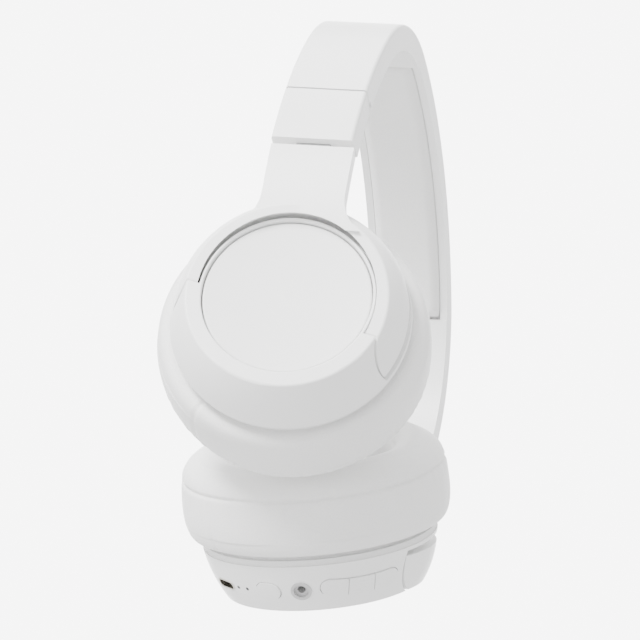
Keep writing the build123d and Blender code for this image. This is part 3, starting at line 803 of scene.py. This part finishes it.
def view_axes(stage):
    """The camera's right, up and backward directions."""
    a, e = stage.azimuth, stage.elevation
    back = Vector((math.sin(a) * math.cos(e), -math.cos(a) * math.cos(e), math.sin(e)))
    right = Vector((0.0, 0.0, 1.0)).cross(back).normalized()
    up = back.cross(right)
    c, s = math.cos(stage.roll), math.sin(stage.roll)
    return right * c + up * s, up * c - right * s, back


def place_camera(scene, stage):
    right, up, back = view_axes(stage)
    data = bpy.data.cameras.new("camera")
    data.sensor_width = 36.0
    data.lens = stage.lens
    data.clip_end = 60.0
    camera = bpy.data.objects.new("camera", data)
    turn = Matrix((right, up, back)).transposed().to_4x4()
    camera.matrix_world = Matrix.Translation(Vector(stage.aim) + back * stage.distance) @ turn
    scene.collection.objects.link(camera)
    scene.camera = camera


def studio_lights(scene, stage):
    """A soft grey surround, white behind the object, with three soft panels."""
    right, up, back = view_axes(stage)
    world = bpy.data.worlds.new("studio")
    world.use_nodes = True
    sky = world.node_tree.nodes["Background"]
    sky.inputs["Strength"].default_value = 7.5
    tree = world.node_tree
    direction = tree.nodes.new("ShaderNodeTexCoord")
    toward = tree.nodes.new("ShaderNodeVectorMath")
    toward.operation = "DOT_PRODUCT"
    toward.inputs[1].default_value = -back
    ramp = tree.nodes.new("ShaderNodeMapRange")
    ramp.interpolation_type = "SMOOTHSTEP"
    ramp.inputs["From Min"].default_value = 0.86
    ramp.inputs["From Max"].default_value = 0.97
    tint = tree.nodes.new("ShaderNodeMix")
    tint.data_type = "RGBA"
    tint.inputs[6].default_value = (0.25, 0.25, 0.25, 1.0)
    tint.inputs[7].default_value = (1.0, 1.0, 1.0, 1.0)
    tree.links.new(direction.outputs["Generated"], toward.inputs[0])
    tree.links.new(toward.outputs["Value"], ramp.inputs["Value"])
    tree.links.new(ramp.outputs["Result"], tint.inputs[0])
    tree.links.new(tint.outputs[2], sky.inputs["Color"])
    scene.world = world
    panels = (
        ("key_panel", right * -0.9 + up * 1.5 + back * 0.8, 0.8, 95.0),
        ("side_panel", right * -1.6 - up * 0.2 + back * 0.6, 0.7, 10.0),
        ("top_panel", up * 1.6 - back * 0.5, 1.0, 16.0),
    )
    for name, where, size, power in panels:
        data = bpy.data.lights.new(name, "AREA")
        data.shape = "DISK"
        data.size = size
        data.energy = power
        lamp = bpy.data.objects.new(name, data)
        aim = Vector(stage.aim)
        lamp.location = aim + where
        lamp.rotation_euler = where.to_track_quat("Z", "Y").to_euler()
        scene.collection.objects.link(lamp)


class HEADPHONES_PT_panel(bpy.types.Panel):
    """Lists the headphones' pieces"""

    bl_label = "Headphones"
    bl_idname = "HEADPHONES_PT_panel"
    bl_space_type = "VIEW_3D"
    bl_region_type = "UI"
    bl_category = "Headphones"

    def draw(self, context):
        for operator in OPERATORS:
            self.layout.operator(operator.bl_idname)


OPERATORS = (
    HEADPHONES_OT_shells,
    HEADPHONES_OT_metal,
    HEADPHONES_OT_electronics,
    HEADPHONES_OT_cushions,
    HEADPHONES_OT_pad,
    HEADPHONES_OT_stage,
)
SETTINGS = {
    "headphone_cushion": CushionSettings,
    "headphone_pad": PadSettings,
    "headphone_finish": FinishSettings,
    "headphone_stage": StageSettings,
}
CLASSES = (*SETTINGS.values(), *OPERATORS, HEADPHONES_PT_panel)


def register():
    for item in CLASSES:
        bpy.utils.register_class(item)
    for name, group in SETTINGS.items():
        setattr(bpy.types.Scene, name, bpy.props.PointerProperty(type=group))


def unregister():
    for name in SETTINGS:
        delattr(bpy.types.Scene, name)
    for item in reversed(CLASSES):
        bpy.utils.unregister_class(item)


def main():
    register()
    for operator in (
        bpy.ops.headphones.shells,
        bpy.ops.headphones.metal,
        bpy.ops.headphones.electronics,
        bpy.ops.headphones.cushions,
        bpy.ops.headphones.pad,
        bpy.ops.headphones.stage,
    ):
        operator()


if __name__ == "__main__":
    main()
